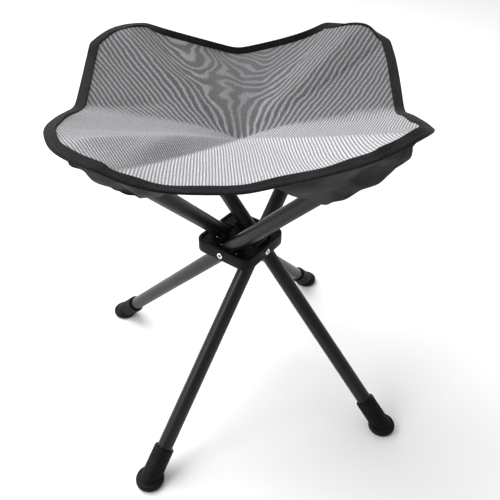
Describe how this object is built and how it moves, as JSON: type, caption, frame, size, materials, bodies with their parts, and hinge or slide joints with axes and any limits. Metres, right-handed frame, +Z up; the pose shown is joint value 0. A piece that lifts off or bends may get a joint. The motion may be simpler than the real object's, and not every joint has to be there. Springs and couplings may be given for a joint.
{
  "type": "folding camp stool",
  "caption": "Folding camp stool: round tube legs cross in a square pivot hub and stretch a sagging mesh sling seat from corner pockets.",
  "frame": {"origin": "on the ground under the middle of the hub and the seat", "axes": "+Z up; the upper ends of the legs lean towards azimuths 45, 135, 225 and 315 degrees from +X, and the middles of the seat's long edges face 6.5 degrees clockwise of +X, +Y, -X and -Y"},
  "size_m": [0.3284, 0.3284, 0.3809],
  "materials": {
    "tube_paint": "satin dark grey powder coat",
    "hub_plastic": "moulded, fine texture",
    "foot_rubber": "matt",
    "tip_plastic": "moulded",
    "rivet_steel": "zinc plated",
    "seat_mesh": "woven mesh, light grey ribs on dark grey",
    "binding_tape": "ribbed woven tape",
    "pocket_cloth": "plain weave polyester"
  },
  "bodies": {
    "hub": {"hub_block": "hub_plastic", "pivot_rivet_1": "rivet_steel", "pivot_rivet_2": "rivet_steel", "pivot_rivet_3": "rivet_steel", "pivot_rivet_4": "rivet_steel", "seat_panel": "seat_mesh", "seat_binding": "binding_tape"},
    "leg_1": {"leg_tube_1": "tube_paint", "foot_cap_1": "foot_rubber", "tip_plug_1": "tip_plastic", "corner_pocket_1": "pocket_cloth"},
    "leg_2": {"leg_tube_2": "tube_paint", "foot_cap_2": "foot_rubber", "tip_plug_2": "tip_plastic", "corner_pocket_2": "pocket_cloth"},
    "leg_3": {"leg_tube_3": "tube_paint", "foot_cap_3": "foot_rubber", "tip_plug_3": "tip_plastic", "corner_pocket_3": "pocket_cloth"},
    "leg_4": {"leg_tube_4": "tube_paint", "foot_cap_4": "foot_rubber", "tip_plug_4": "tip_plastic", "corner_pocket_4": "pocket_cloth"}
  },
  "joints": [
    {"name": "fold_leg_1", "type": "hinge", "parent": "hub", "child": "leg_1", "pos_m": [0.01428, -0.01428, 0.1945], "axis": [0.7071, -0.7071, 0], "range_deg": [0, 43.8], "deforming": ["seat_panel", "seat_binding"]},
    {"name": "fold_leg_2", "type": "hinge", "parent": "hub", "child": "leg_2", "pos_m": [0.01428, 0.01428, 0.1945], "axis": [0.7071, 0.7071, 0], "range_deg": [0, 43.8]},
    {"name": "fold_leg_3", "type": "hinge", "parent": "hub", "child": "leg_3", "pos_m": [-0.01428, 0.01428, 0.1945], "axis": [-0.7071, 0.7071, 0], "range_deg": [0, 43.8]},
    {"name": "fold_leg_4", "type": "hinge", "parent": "hub", "child": "leg_4", "pos_m": [-0.01428, -0.01428, 0.1945], "axis": [-0.7071, -0.7071, 0], "range_deg": [0, 43.8]}
  ],
  "couplings": [
    {"joint": "fold_leg_2", "follows": "fold_leg_1", "ratio": 1},
    {"joint": "fold_leg_3", "follows": "fold_leg_1", "ratio": 1},
    {"joint": "fold_leg_4", "follows": "fold_leg_1", "ratio": 1}
  ]
}
